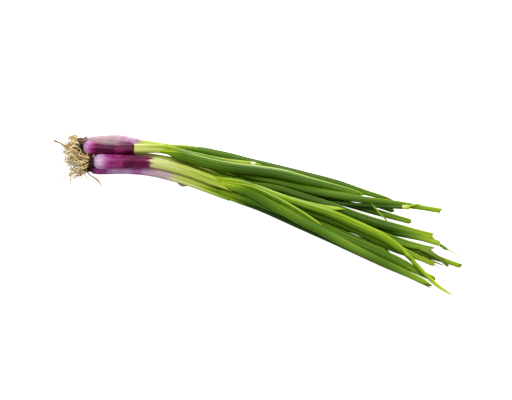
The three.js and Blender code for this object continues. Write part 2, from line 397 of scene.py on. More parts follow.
# %% [markdown]
# ## Fibres
# Onion leaves and skins are built of parallel veins. On a strand they run lengthwise, however the
# strand bends. The field called straight holds each point's place as if its strand were pulled
# straight, so a noise that is fine across and long along Z follows every bend and has no seam.

# %% A node group for lengthwise fibres
def fibres_group():
    """Noise that is stretched along the strand. Across and Along count its grains per metre."""
    tree = bpy.data.node_groups.new("lengthwise fibres", "ShaderNodeTree")
    tree.interface.new_socket("Straight", in_out="INPUT", socket_type="NodeSocketVector")
    for name, default in (("Across", 900.0), ("Along", 20.0), ("Roughness", 0.5)):
        socket = tree.interface.new_socket(name, in_out="INPUT", socket_type="NodeSocketFloat")
        socket.default_value = default
    tree.interface.new_socket("Value", in_out="OUTPUT", socket_type="NodeSocketFloat")
    given = tree.nodes.new("NodeGroupInput")
    sizes = add_node(tree, "ShaderNodeCombineXYZ", X=given.outputs["Across"], Y=given.outputs["Across"],
                     Z=given.outputs["Along"])
    scaled = add_node(tree, "ShaderNodeVectorMath", operation="MULTIPLY", _0=given.outputs["Straight"],
                      _1=sizes.outputs[0])
    noise = add_node(tree, "ShaderNodeTexNoise", Vector=scaled.outputs[0], Scale=1.0, Detail=3.0,
                     Roughness=given.outputs["Roughness"])
    result = tree.nodes.new("NodeGroupOutput")
    tree.links.new(noise.outputs["Fac"], result.inputs["Value"])
    return tree


FIBRES = fibres_group()


def fibres(tree, across, along, roughness=0.5):
    """The fibre noise in a material, from 0 to 1, with grains per metre across and along."""
    straight = add_node(tree, "ShaderNodeAttribute", attribute_name="straight").outputs["Vector"]
    group = add_node(tree, "ShaderNodeGroup", node_tree=FIBRES, Straight=straight, Across=across,
                     Along=along, Roughness=roughness)
    return group.outputs["Value"]


print("node group:", FIBRES.name)

# %% [markdown]
# ## The green leaf
# One ramp holds all the greens a leaf can have, from the dark green of an old leaf to the nearly
# white of a torn collar. A painted field called tone picks the place on the ramp, and the fibres move
# it up and down, so the veins are a little lighter and darker. Tone also carries painted shade on the
# front flank and in the fold. The field edge is the distance in mm from a pale line along the rim of
# many leaves, which is a painted highlight, and the field dry turns the colour to straw.

# %% Leaf material
LEAF_GREENS = [(0.0, linear(26, 40, 2)), (0.2, linear(50, 78, 6)), (0.4, linear(80, 116, 16)),
               (0.55, linear(106, 142, 22)), (0.7, linear(138, 166, 16)), (0.85, linear(180, 200, 52)),
               (0.93, linear(214, 222, 120)), (1.0, linear(244, 244, 222))]
STRAW = [(0.3, linear(88, 64, 20)), (0.7, linear(160, 130, 58))]
# The pale line along the leaf rims is a painted highlight: how much it lifts the tone, where it fades in mm,
# its palest tone.
HIGHLIGHT_LIFT, HIGHLIGHT_FROM, HIGHLIGHT_TO, HIGHLIGHT_PALEST = 0.34, 0.2, 0.8, 0.84


def leaf_material():
    """Green = ramp(tone + veins + a painted highlight line that fades from HIGHLIGHT_FROM to HIGHLIGHT_TO
    mm); straw where dry.
    """
    material, tree, shader = new_material("green leaf")
    veins, bands = fibres(tree, 1500, 18), fibres(tree, 520, 6)
    patches = fibres(tree, 160, 26, 0.6)
    shade = offset(tree, field(tree, "tone"), (veins, 0.2), (bands, 0.26), (patches, 0.16))
    # Painted highlight: a pale line along the rim, broken up by the patches and held below the palest tone.
    from_highlight = arithmetic(tree, "ABSOLUTE", field(tree, "edge"))
    line = rescale(tree, from_highlight, HIGHLIGHT_LIFT, 0.0, HIGHLIGHT_FROM, HIGHLIGHT_TO)
    broken_highlight = arithmetic(tree, "MULTIPLY", line, arithmetic(tree, "MULTIPLY", patches, 2.0))
    highlighted = arithmetic(tree, "MINIMUM", arithmetic(tree, "ADD", shade, broken_highlight), HIGHLIGHT_PALEST)
    green = ramp(tree, arithmetic(tree, "MAXIMUM", shade, highlighted), LEAF_GREENS)
    dry = field(tree, "dry")
    dried = arithmetic(tree, "MULTIPLY", offset(tree, dry, (bands, 0.6)), dry, clamp=True)
    colour = blend(tree, dried, green, ramp(tree, bands, STRAW))
    finish_surface(tree, shader, colour, rescale(tree, patches, 0.32, 0.48), veins, 0.3, 0.00025)
    set_constants(shader, Specular_IOR_Level=0.11, Subsurface_Weight=0.08,
                  Subsurface_Radius=(0.5, 1.0, 0.2), Subsurface_Scale=0.001)
    return material


FINISHES["leaf"] = leaf_material()
print("leaf material:", len(FINISHES["leaf"].node_tree.nodes), "nodes")

# %% [markdown]
# ## The sheath
# The bulb and the stem are wrapped in leaf bases. Their skin is white where it was in the ground,
# and red onions colour it from lilac through magenta to nearly black. The field skin says where the
# coloured skin lies over the green stem, purple and green how strong each colour is, and papery
# where the skin has dried. They are roughened by fibres and specks before they are used, so the skin
# is mottled and ends in a ragged, streaky edge.

# %% Sheath material
SHEATH_PURPLES = [(0.0, linear(238, 228, 228)), (0.14, linear(216, 192, 214)),
                  (0.32, linear(196, 142, 192)), (0.50, linear(168, 70, 146)),
                  (0.68, linear(134, 24, 90)), (0.84, linear(92, 6, 56)), (1.0, linear(58, 4, 34))]
SHEATH_GREENS = [(0.0, linear(220, 222, 164)), (0.3, linear(196, 206, 100)),
                 (0.6, linear(168, 190, 58)), (0.85, linear(122, 156, 34)), (1.0, linear(88, 126, 20))]
PAPERY = [(0.35, linear(176, 138, 150)), (0.6, linear(206, 186, 170))]
SKIN_BARE, SKIN_WHOLE = 0.36, 0.64


def sheath_material():
    """Mix of ramp(green + fibres) and ramp(purple + fibres) by the ragged skin, dry where papery."""
    material, tree, shader = new_material("onion sheath")
    veins, bands = fibres(tree, 1400, 22), fibres(tree, 420, 14, 0.6)
    blots, specks = fibres(tree, 260, 90, 0.65), fibres(tree, 620, 360, 0.7)
    strength = offset(tree, field(tree, "purple"), (bands, 0.32), (blots, 0.62), (specks, 0.42))
    shade = offset(tree, field(tree, "green"), (fibres(tree, 200, 5), 0.6), (bands, 0.5), (veins, 0.2))
    ragged = offset(tree, field(tree, "skin"), (bands, 1.1), (blots, 0.9), (specks, 0.5))
    covered = rescale(tree, ragged, 0.0, 1.0, SKIN_BARE, SKIN_WHOLE)
    flesh = ramp(tree, strength, SHEATH_PURPLES)
    coloured = blend(tree, field(tree, "papery"), flesh, ramp(tree, blots, PAPERY))
    colour = blend(tree, covered, ramp(tree, shade, SHEATH_GREENS), coloured)
    height = arithmetic(tree, "ADD", veins, arithmetic(tree, "MULTIPLY", covered, 0.8))
    finish_surface(tree, shader, colour, rescale(tree, blots, 0.24, 0.5), height, 0.35, 0.0003)
    set_constants(shader, Specular_IOR_Level=0.12, Subsurface_Weight=0.15, Coat_Weight=0.03,
                  Subsurface_Radius=(1.0, 0.7, 0.6), Subsurface_Scale=0.0015, Coat_Roughness=0.2)
    return material


FINISHES["sheath"] = sheath_material()
print("sheath material:", len(FINISHES["sheath"].node_tree.nodes), "nodes")

# %% [markdown]
# ## Roots and old skins
# Dry roots are straw coloured, each a little different. The old skins are the brown-black remains of
# outer leaves. Both are dull, with a fine roughness and no coat.

# %% Root and old skin materials
ROOT_STRAWS = [(0.0, linear(96, 64, 28)), (0.3, linear(186, 148, 80)), (0.6, linear(232, 206, 138)),
               (1.0, linear(252, 242, 206))]
OLD_BROWNS = [(0.0, linear(18, 8, 9)), (0.35, linear(50, 28, 28)), (0.6, linear(96, 68, 62)),
              (0.85, linear(176, 150, 122)), (1.0, linear(220, 206, 180))]


def roots_material():
    """Straw = ramp(tone + grain), rough where the grain is high."""
    material, tree, shader = new_material("dry root")
    grain = fibres(tree, 900, 160, 0.6)
    colour = ramp(tree, offset(tree, field(tree, "tone"), (grain, 0.35)), ROOT_STRAWS)
    finish_surface(tree, shader, colour, rescale(tree, grain, 0.55, 0.85), grain, 0.5, 0.0003)
    return material


def old_skin_material():
    """Brown = ramp(tone + patches + veins), raised by both."""
    material, tree, shader = new_material("old skin")
    veins, patches = fibres(tree, 1300, 60, 0.6), fibres(tree, 300, 240, 0.6)
    colour = ramp(tree, offset(tree, field(tree, "tone"), (patches, 0.5), (veins, 0.3)), OLD_BROWNS)
    height = arithmetic(tree, "ADD", veins, patches)
    finish_surface(tree, shader, colour, rescale(tree, patches, 0.45, 0.8), height, 0.6, 0.0004)
    set_constants(shader, Specular_IOR_Level=0.15)
    return material


FINISHES["roots"], FINISHES["old_skin"] = roots_material(), old_skin_material()
print("finishes:", sorted(FINISHES))

# %% [markdown]
# ## Where the leaves leave the stem
# Each stem wraps three leaves. Near its mouth their bulges show through the skin. A leaf's place
# there is an angle round the stem, and its bulge is a circle a little over half the stem's radius,
# set off the middle. The sheath's section is the outline round the three circles.

# %% Leaf places in the neck
LEAF_SHARE, LEAF_OFFSET, BLENDING = 0.58, 0.42, 10


def neck_angle(n, k):
    """Angle of leaf k round the end of stem n, 0 across and a quarter turn up."""
    stem = STEMS[n]
    across, up = frames_of(stem.centre)
    away = LEAVES[n, k].centre[0] - stem.centre[-1]
    return np.arctan2(away @ up[-1], away @ across[-1])


def bulging(n, phi):
    """Outline round the leaf circles, as a share of the radius: d cos a + sqrt(r2 - d2 sin2 a) of each.

    The tenth root of the sum of their tenth powers is nearly the largest of them, without a corner.
    """
    total = 0
    for k in (1, 2, 3):
        turn = phi - neck_angle(n, k)
        reach = LEAF_OFFSET * np.cos(turn) + np.sqrt(LEAF_SHARE ** 2 - (LEAF_OFFSET * np.sin(turn)) ** 2)
        total = total + np.clip(reach, 0.01, None) ** BLENDING
    return total ** (1 / BLENDING)


# %% [markdown]
# ## Bulbs and stems
# A stem is a tube that swells into the bulb. Its skin is a thin jacket on top of the green, so the
# radius drops a little where the jacket ends. It ends in an open, slanting mouth with a thin wall,
# and the leaves come out of that mouth. What sets the six stems apart is kept in one table. Its
# distances are counted from the base of the bulb, in mm.

# %% Stem looks
# jacket: where the coloured skin ends, how ragged and how soft its edge is
# papery: (from, to, share) of the dry tan skin; front: (from, to, extra purple) on the front side
# mouth: (angle it points to, slant); greener: extra green towards the mouth
# seams: (angle, from, to) of the edge of an outer skin along the stem
# slim: (distance, share of the width) where the bulb is slimmer than the plain one
# purple: (distance, how strong the purple is)
STEM_LOOKS = {
    1: dict(jacket=(56, 1.5, 11), papery=(2, 50, 0.75), front=(34, 54, 0.45), mouth=(1.2, 5),
            seams=[(2.7, 50, 95)],
            slim=[(0, 0.72), (6, 0.82), (14, 0.9), (30, 0.92), (60, 0.92), (80, 1)],
            purple=[(0, 0.34), (8, 0.34), (14, 0.30), (20, 0.27), (30, 0.25), (45, 0.28), (58, 0.3)]),
    2: dict(jacket=(49, 0.6, 1), mouth=(3.4, 6), seams=[(2.0, 50, 90)],
            purple=[(0, 0.32), (5, 0.35), (7, 0.45), (10, 0.64), (13, 0.82), (18, 0.92), (28, 0.92),
                    (31, 0.76), (36, 0.80), (40, 0.92), (48, 0.92)]),
    3: dict(jacket=(57, 1.8, 13), mouth=(3.9, 12), seams=[(2.15, 60, 140), (3.3, 66, 120)],
            purple=[(0, 0.20), (7, 0.22), (10, 0.38), (13, 0.50), (17, 0.60), (26, 0.62), (30, 0.78),
                    (36, 0.85), (52, 0.78)]),
    4: dict(jacket=(86, 4, 22), papery=(56, 100, 0.7), mouth=(3.8, 6), greener=0.42,
            seams=[(2.6, 70, 145)],
            purple=[(0, 0.70), (6, 0.62), (14, 0.52), (20, 0.36), (26, 0.26), (40, 0.28), (44, 0.44),
                    (50, 0.46), (56, 0.30), (66, 0.24)]),
    5: dict(jacket=(46, 4, 5), mouth=(0.8, 5), purple=[(0, 0.8), (12, 0.7), (30, 0.85), (46, 0.6)]),
    6: dict(jacket=(50, 4, 5), mouth=(5.2, 5),
            purple=[(0, 0.25), (8, 0.3), (16, 0.7), (30, 0.9), (50, 0.7)]),
}


def along_table(table, s):
    """Straight lines through (distance in mm, value) pairs."""
    at, values = zip(*table)
    return np.interp(s / MM, at, values)


def between(s, start, end, fade_in, fade_out):
    """0 before start and after end, in mm, and 1 between, with an ease at each side."""
    return ease(s / MM, start, start + fade_in) * (1 - ease(s / MM, end - fade_out, end))


def tube_grid(rows, columns):
    """The distance and the angle of every point of a tube."""
    around = np.linspace(0, 2 * np.pi, columns, endpoint=False)
    return np.meshgrid(rows, around, indexing="ij")


# %% Stems
STEM_COLUMNS, MOUTH_WALL, MOUTH_DEPTH, JACKET_THICKNESS = 120, 0.3 * MM, 7 * MM, 0.28 * MM
DOME, NECK_REACH, NECK_FULLER, JACKET_STEP = 10 * MM, 75 * MM, 1.08, 0.6 * MM
STEM_GREEN, GREEN_GAIN, FURROW_SHADE, SEAM_GREEN = 0.20, 0.34, 0.7, 0.5


def stem_rows(length):
    """Distances of the rows: close together on the dome, even on the stem, then back inside the mouth."""
    dome = DOME * (np.linspace(0.02, 1, 22) ** 2)
    shaft = np.linspace(DOME, length, 150)[1:]
    inside = length - MOUTH_DEPTH * np.linspace(0, 1, 8)
    return np.concatenate([dome, shaft, inside]), len(dome) + len(shaft)


def make_stem(n):
    """A tube of the ring radius times the bulging outline near the neck, with ripples and a jacket."""
    stem, look = STEMS[n], STEM_LOOKS[n]
    length = stem.along[-1]
    rows, outer = stem_rows(length)
    s, phi = tube_grid(rows, STEM_COLUMNS)
    is_inside = (np.arange(len(rows)) >= outer)[:, None]

    in_neck = ease(s, length - NECK_REACH, length - 4 * MM)
    bulge = 1 + (NECK_FULLER * bulging(n, phi) - 1) * in_neck
    uneven = (0.016 * ripples(n, s, phi, (2, 3, 4), 70 * MM)
              + 0.010 * ripples(n + 40, s, phi, (7, 11), 90 * MM))
    at, rough, soft = look["jacket"]
    jacket_end = (at + rough * teeth(n + 20, phi)) * MM
    jacket = JACKET_THICKNESS * (1 - ease(s, jacket_end - JACKET_STEP, jacket_end + JACKET_STEP))
    slim = along_table(look.get("slim", [(0, 1)]), s)
    radius = smooth(stem.along, stem.width, s) * slim
    x = (radius * (bulge + uneven) + jacket) * np.cos(phi)
    y = (smooth(stem.along, stem.height, s) * slim * (bulge + uneven) + jacket) * np.sin(phi)
    wall = np.where(is_inside, 1 - MOUTH_WALL / np.hypot(x, y), 1)
    x, y = x * wall, y * wall

    direction, slant = look["mouth"]
    mouth = (slant * np.cos(phi - direction) + teeth(n + 60, phi)) * MM
    grid = carry(stem, s + mouth * ease(s, length - 20 * MM, length), x, y)

    skin = 1 - ease(s, jacket_end - soft * MM, jacket_end + soft * MM)
    seam = 0 * s
    for angle, start, end in look.get("seams", ()):
        from_seam = radius * (np.mod(phi - angle + np.pi, 2 * np.pi) - np.pi) / MM
        raised = np.exp(-(from_seam / 0.4) ** 2) - 0.5 * np.exp(-((from_seam - 1.3) / 0.8) ** 2)
        seam = seam + between(s, start, end, 20, 20) * raised
    start, end, share = look.get("papery", (0, 0, 0))
    papery = share * between(s, start, end, 8, 12)
    start, end, extra = look.get("front", (0, 0, 0))
    front = extra * between(s, start, end, 6, 6)
    purple = along_table(look["purple"], s) + front * ease(-np.cos(phi - 0.5), -0.1, 0.6)
    near_mouth = look.get("greener", 0) * ease(s, length - 34 * MM, length - 4 * MM)
    green = STEM_GREEN + GREEN_GAIN * ease(s, 50 * MM, length) + near_mouth
    # Painted shade: the furrows between the leaf bulges are made a darker green.
    green = green + FURROW_SHADE * (1 - bulge) + SEAM_GREEN * seam
    straight = np.stack([x, y, s + 0.4 * n], -1)
    return add_tube(f"onion_{n}_sheath", grid, straight, "sheath", [f"onion_{n}_stem"],
                    skin=skin, purple=purple, papery=papery * (1 - front), green=green)


for n in ONIONS:
    piece = make_stem(n)
    print(piece.name, len(piece.data.polygons), "faces")

# %% [markdown]
# ## How the leaves differ
# Eighteen leaves share one recipe. What sets them apart is kept in one table, read by the cells below:
# how green, how wide, where the fold and the pale painted highlight line run, how much painted shade
# one side gets, and how it ends. Its distances are counted from the neck and its sizes are in mm.

# %% Leaf looks
# tone: place on the ramp of greens along the leaf, and at its end
# edge: where the pale line, a painted highlight, runs across it, from -1 to 1, or 9 for none; rim: how much
# paler along it
# flank_shade: painted shade, (how much darker one side is, how far off the middle that starts); fold: (place,
# depth)
# end: (kind, half-width); dry: how far the straw colour reaches from the end
# full: (width compared with the plain leaf, where it is reached); young: how far the base is pale
# widths: (distance, half-width) where a leaf is far from plain; short: what is cut off its end
# nudge: (distance, shift in x, y and z) of its line
LEAF_LOOKS = {
    (1, 1): dict(tone=(0.42, 0.46), edge=0.62, fold=(0.1, 0.2), end=("point", 0), full=(0.95, 30),
                 young=14,
                 nudge=[(10, 0, 0, 0), (20, 0, -0.4, -1.2), (40, 0.4, -1.0, -1.8), (65, 0.2, -0.5, -1.8),
                        (90, 0, 0, -2), (130, 0, 0, -2.2), (180, 0, 0, -1.6), (220, 0, 0, 0)]),
    (1, 2): dict(tone=(0.36, 0.54), edge=0.6, fold=(0.2, 0.2), end=("blunt", 2.6), full=(1.0, 42), young=8),
    (1, 3): dict(tone=(0.38, 0.56), edge=0.5, fold=(0.1, 0.2), end=("blunt", 3.0), full=(1.1, 42), young=8),
    (2, 1): dict(tone=(0.37, 0.50), edge=0.38, rim=0.54, fold=(-0.4, 0.12), end=("point", 0),
                 full=(1.14, 16), young=8),
    (2, 2): dict(tone=(0.66, 0.76), edge=9, fold=(0.0, 0.05), end=("torn", 2.2), full=(0.9, 24), young=10,
                 nudge=[(0, 0, 0, 0), (20, 0, 0, -1.2), (84, 0, 0, -1.2)]),
    (2, 3): dict(tone=(0.28, 0.72), edge=0.7, fold=(0.2, 0.25), end=("cut", 2.9), full=(1.2, 42), young=5,
                 widths=[(42, 3.4), (130, 3.6), (190, 4.6), (240, 5.0), (270, 4.0)], short=8,
                 nudge=[(180, 0, 0, 0), (215, 0, 0, 1.5), (240, 0, 0, 2.2), (262, 0, 0, 3.4),
                        (288, 0, 0, 4)]),
    (3, 1): dict(tone=(0.70, 0.94), edge=9, flank_shade=(0.24, 0.66), fold=(-0.55, 0.32), end=("point", 0),
                 full=(1.15, 42), young=20,
                 widths=[(45, 3.2), (74, 3.6), (89, 4.2), (103, 4.5), (133, 4.7), (163, 4.3), (182, 3.5),
                         (194, 2.5), (215, 2.1), (236, 1.8), (251, 1.2)]),
    (3, 2): dict(tone=(0.46, 0.62), edge=0.3, fold=(0.5, 0.3), end=("point", 0), full=(1.12, 24), young=16,
                 widths=[(24, 4.6), (52, 5.2), (100, 4.8), (140, 4.2), (175, 3.7), (200, 3.2), (223, 1.8)]),
    (3, 3): dict(tone=(0.52, 0.56), edge=-0.3, fold=(-0.7, 0.3), end=("point", 0), full=(1.1, 30),
                 young=18),
    (4, 1): dict(tone=(0.24, 0.56), edge=0.6, fold=(0.3, 0.25), end=("torn", 2.0), dry=2, full=(1.06, 24),
                 young=18, widths=[(24, 4.0), (60, 4.2), (120, 4.0), (160, 3.4), (217, 2.6)]),
    (4, 2): dict(tone=(0.42, 0.64), edge=0.6, fold=(0.2, 0.25), end=("blunt", 3.0), full=(1.18, 30),
                 young=14),
    (4, 3): dict(tone=(0.40, 0.50), edge=0.6, fold=(0.1, 0.3), end=("point", 0), full=(1.4, 42), young=5,
                 short=28),
    (5, 1): dict(tone=(0.42, 0.70), edge=0.5, fold=(0.2, 0.2), end=("cut", 2.8), full=(0.95, 42), young=22),
    (5, 2): dict(tone=(0.33, 0.70), edge=0.64, fold=(0.35, 0.3), end=("torn", 3.7), full=(1.1, 42),
                 young=20,
                 widths=[(42, 3.2), (100, 3.4), (140, 4.0), (180, 4.9), (208, 4.7), (225, 4.2)]),
    (5, 3): dict(tone=(0.56, 0.82), edge=9, fold=(0.0, 0.1), end=("point", 0), full=(1.4, 42), young=24,
                 nudge=[(40, 0, 0, 0), (62, 0, 0, -5), (84, 0, 0, -5), (102, 0, 0, 0)]),
    (6, 1): dict(tone=(0.42, 0.62), edge=0.6, fold=(-0.1, 0.3), end=("torn", 3.2), dry=1, full=(1.2, 42),
                 young=20),
    (6, 2): dict(tone=(0.38, 0.68), edge=0.5, fold=(0.2, 0.25), end=("cut", 2.5), full=(1.55, 42), young=16),
    (6, 3): dict(tone=(0.46, 0.64), edge=0.6, fold=(0.2, 0.25), end=("blunt", 2.4), full=(1.3, 42), young=16),
}

# %% [markdown]
# ## Leaf lines
# A leaf starts inside the stem, on the stem's own line, and must leave it without a kink. The two
# lines are joined end to end, and then the joined line is pulled tight round the neck as a string
# would be: each point moves halfway to the middle of its neighbours, again and again.

# %% Leaf lines
INSIDE_STEM, LINE_STEP, LINE_BEFORE, PULLS = 30 * MM, 2 * MM, 60 * MM, 70


def leaf_line(n, k):
    """Stem line shifted to the leaf's place, then the leaf's line, pulled tight near the neck."""
    stem, leaf = STEMS[n], LEAVES[n, k]
    end = stem.centre[-1]
    across, up = frames_of(stem.centre)
    angle = neck_angle(n, k)
    place = LEAF_OFFSET * (stem.width[-1] * np.cos(angle) * across[-1]
                           + stem.height[-1] * np.sin(angle) * up[-1])
    before = np.arange(-LINE_BEFORE, -0.5 * LINE_STEP, LINE_STEP)
    after = np.append(np.arange(0, leaf.along[-1] - 0.5 * LINE_STEP, LINE_STEP), leaf.along[-1])
    inner = smooth(stem.along, stem.centre, stem.along[-1] + before)
    inner = inner + ease(before, -LINE_BEFORE, 0)[:, None] * place
    outer = smooth(leaf.along, leaf.centre, after)
    outer = outer + (1 - ease(after, 0, 25 * MM))[:, None] * (end + place - leaf.centre[0])
    centre = np.vstack([inner, outer])
    pull = 0.5 * between(np.append(before, after), -50, 80, 30, 35)[1:-1, None]
    for _ in range(PULLS):
        centre[1:-1] += pull * ((centre[:-2] + centre[2:]) / 2 - centre[1:-1])
    along = distances(centre) - distances(centre)[len(inner)]
    nudge = np.array(LEAF_LOOKS[n, k].get("nudge", [(0, 0, 0, 0)]), float) * MM
    centre += np.stack([np.interp(along, nudge[:, 0], nudge[:, axis]) for axis in (1, 2, 3)], -1)
    keep = along > -INSIDE_STEM - LINE_STEP
    return SimpleNamespace(centre=centre[keep], along=along[keep], length=along[-1])


# %% [markdown]
# ## Leaves
# A leaf is a hollow tube, flattened on its upper side, with a fold along it. A pale line is painted on its
# rim as a highlight, and one flank and the groove of its fold are painted darker as shade. Its free end
# is one of four kinds: it runs out to a point, it is pinched and round, it is cut straight, or it is torn.
# The last two are open, so that the thin wall and the hollow show. The wall of an open end is made by
# carrying the rows back inside.

# %% Leaf sizes
LEAF_COLUMNS, LEAF_WALL, CLOSE_ROWS, OPEN_DEPTH = 72, 0.4 * MM, 14 * MM, 16 * MM
FLATTENED, END_FLATTENED = 0.74, 0.62


def leaf_rows(line, is_open):
    """Row distances from inside the stem to the end, close together at it, and the number outside."""
    outside = np.linspace(-INSIDE_STEM, line.length - CLOSE_ROWS, 150)
    last = line.length - CLOSE_ROWS * (1 - np.linspace(0, 1, 26)[1:]) ** 1.6
    rows = np.concatenate([outside, last])
    inside = line.length - OPEN_DEPTH * np.linspace(0, 1, 10) ** 1.3
    return np.concatenate([rows, inside]) if is_open else rows, len(rows)


def leaf_half_sizes(n, k, s, length):
    """Half-width and half-height: the neck's share of the stem, then the leaf's own, then the end's."""
    stem, leaf, look = STEMS[n], LEAVES[n, k], LEAF_LOOKS[n, k]
    fuller, reached = look["full"]
    end_width, slant = look["end"][1], STEM_LOOKS[n]["mouth"][1]
    inside = np.clip(s * leaf.along[-1] / length, min(45 * MM, 0.4 * leaf.along[-1]), leaf.along[-1])
    width, height = (fuller * smooth(leaf.along, size, inside) for size in (leaf.width, leaf.height))
    if "widths" in look:
        at, own = np.array(look["widths"]).T * MM
        width = smooth(at, own, np.clip(s, at[0], at[-1]))
        height = FLATTENED * width
    neck = min(LEAF_SHARE * stem.width[-1], 1.2 * leaf.width.max())
    neck = neck * (0.6 + 0.4 * ease(s, -(16 + slant) * MM, -slant * MM))
    flat = stem.height[-1] / stem.width[-1]
    grown = ease(s, -4 * MM, reached * MM)
    width = width * grown + neck * (1 - grown)
    height = height * grown + neck * flat * (1 - grown)
    near_end = ease(s, length - 45 * MM, length - 4 * MM) if end_width else 0
    width = width * (1 - near_end) + end_width * MM * near_end
    return width, height * (1 - near_end) + END_FLATTENED * end_width * MM * near_end


# %% Leaf surfaces
BLUNT_ROUND, POINT_TAPER, PALE_BASE, PALE_SHARE, INSIDE_PALER = 3.5 * MM, 7 * MM, 0.74, 0.8, 0.12


def make_leaf(n, k):
    """Half-sizes times an uneven section with a fold in its top, closed or torn at its end."""
    look, line = LEAF_LOOKS[n, k], leaf_line(n, k)
    line.length -= look.get("short", 0) * MM
    kind = look["end"][0]
    rows, outer = leaf_rows(line, kind in ("cut", "torn"))
    s, phi = tube_grid(rows, LEAF_COLUMNS)
    seed, left = 10 * n + k, line.length - s
    is_inside = (np.arange(len(rows)) >= outer)[:, None]

    out_of_neck = ease(s, 5 * MM, 40 * MM)
    width, height = leaf_half_sizes(n, k, s, line.length)
    uneven = (1 + 0.04 * ripples(seed, s, phi, (2, 3), 80 * MM)
              + 0.015 * ripples(seed + 7, s, phi, (5, 8), 120 * MM))
    place, depth = look["fold"]
    turned = phi + 0.35 * ripples(seed + 3, s, 0 * phi, (1, 1), 150 * MM)
    top = np.clip(np.sin(turned), 0, 1)
    from_fold = np.cos(turned) - place
    groove = np.exp(-(from_fold / 0.16) ** 2) - 0.4 * np.exp(-((np.abs(from_fold) - 0.3) / 0.14) ** 2)
    groove = depth * out_of_neck * top * groove
    x = width * uneven * np.cos(phi)
    y = height * uneven * (np.sin(phi) - groove)

    closing = np.ones_like(s)
    if kind == "blunt":
        closing = np.sqrt(np.clip(1 - (1 - np.clip(left / BLUNT_ROUND, 0, 1)) ** 2, 0.002, 1))
    if kind == "point":
        closing = np.clip(left / POINT_TAPER, 0.01, 1) ** 0.6
    thinner = np.clip(1 - LEAF_WALL / np.maximum(np.hypot(x, y), 1e-6), 0.25, 1)
    closing = closing * np.where(is_inside, thinner, 1)
    x, y = x * closing, y * closing
    ragged = {"cut": 1.2 * np.cos(phi - seed) + 0.5 * teeth(seed + 80, phi),
              "torn": 4.5 * teeth(seed + 80, phi) - 1.5}
    grid = carry(line, s + ragged.get(kind, 0 * phi) * MM * ease(-left, -10 * MM, 0), x, y)

    young = 1 - ease(s, (look["young"] - 12) * MM, (look["young"] + 12) * MM)
    tip = ease(-left, -50 * MM, -4 * MM)
    tone = look["tone"][0] * (1 - tip) + look["tone"][1] * tip
    tone = tone + (PALE_BASE - tone) * PALE_SHARE * young + INSIDE_PALER * is_inside
    # Painted shade: the front side of the leaf is made darker, away from the neck and the tip.
    flank_shade, flank_shade_from = look.get("flank_shade", (0.08, 0.0))
    tone = tone - flank_shade * out_of_neck * (1 - tip) * ease(-np.cos(turned), flank_shade_from, 0.95)
    # A slow random ripple in tone, and painted shade in the groove of the fold.
    tone = tone + 0.06 * ripples(seed + 9, s, 0 * phi, (1, 1, 1), 60 * MM) - 0.4 * np.clip(groove, 0, 1)
    # Painted highlight: edge is the distance in mm from a pale line along the upper rim, kept off the lower
    # side and the neck; rim makes it paler still.
    edge = (np.cos(turned) - look["edge"]) * width / MM
    edge = edge + 3 * np.clip(-np.sin(turned), 0, 1) + 2 * (1 - out_of_neck)
    rim = look.get("rim", 0) * np.exp(-(edge / 0.55) ** 2)
    tone = tone + rim * ease(s, 60 * MM, 90 * MM) * (1 - tip)
    dry = look.get("dry", 0)
    dry = ease(-left, -(dry + 2) * MM, 0) * min(dry, 1)
    straight = np.stack([x, y, s + 0.35 * seed], -1)
    return add_tube(f"onion_{n}_blade_{k}", grid, straight, "leaf", [f"onion_{n}_leaf_{k}"],
                    tone=tone, dry=dry, edge=edge)


for n, k in LEAVES:
    piece = make_leaf(n, k)
print("18 leaves,", len(piece.data.polygons), "faces in the last one")

# %% [markdown]
# ## Root crowns
# Between the bulb and its roots is a woody plate, wrapped in the dark remains of old skins. It is a
# short lumpy knob: a profile that bulges and closes, with strong ripples for its wrinkles.

# %% Root crowns
CROWN_START, CROWN_LENGTH, CROWN_RADIUS = -0.8 * MM, 9 * MM, 4.2 * MM
CROWN_TONES = {n: 0.4 if n == 1 else 0.16 for n in ONIONS}


def make_crown(n):
    """A knob: radius x sin to the 0.45 of the share along it x (1 - a fifth of the share), wrinkled."""
    share, phi = tube_grid(np.linspace(0.01, 0.99, 30), 64)
    s = CROWN_START + CROWN_LENGTH * share
    bulge = CROWN_RADIUS * np.sin(np.pi * share) ** 0.45 * (1 - 0.2 * share)
    wrinkled = (1 + 0.16 * ripples(n, 6 * s, phi, (2, 3, 5))
                + 0.09 * ripples(n + 9, 14 * s, phi, (9, 13, 17)))
    x, y = bulge * wrinkled * np.cos(phi), bulge * wrinkled * np.sin(phi)
    straight = np.stack([x, y, s + 0.3 * n], -1)
    tone = CROWN_TONES[n] + 0.25 * ripples(n + 4, 10 * s, phi, (3, 6, 11)) + 0.8 * share ** 3
    return add_tube(f"onion_{n}_crown", carry(TUFTS[n], s, x, y), straight, "old_skin", tone=tone)


for n in ONIONS:
    make_crown(n)
print("6 root crowns")

# %% [markdown]
# ## Roots
# A tuft is about forty dry roots. Drawing each by hand would take hours, so a root is grown: its
# heading starts outwards from the crown and wanders as a sum of sines, and its path is the running
# total of its headings. All roots of a tuft are worked out together as one array, and each gets a
# thin four-sided tube, which is enough because it is no thicker than a thread.

# %% Grown roots
ROOT_COUNT, ROOT_SIDES, ROOT_STEPS = 38, 4, 16
SINKING, WANDER, TOP_GAP, ROOT_INSET = 0.35, 0.95, 0.7 * MM, 3.6 * MM
ROOT_THICKNESS, ROOT_TONES, ROOT_TAPER = (0.42, 0.85), (0.2, 0.95), 0.45


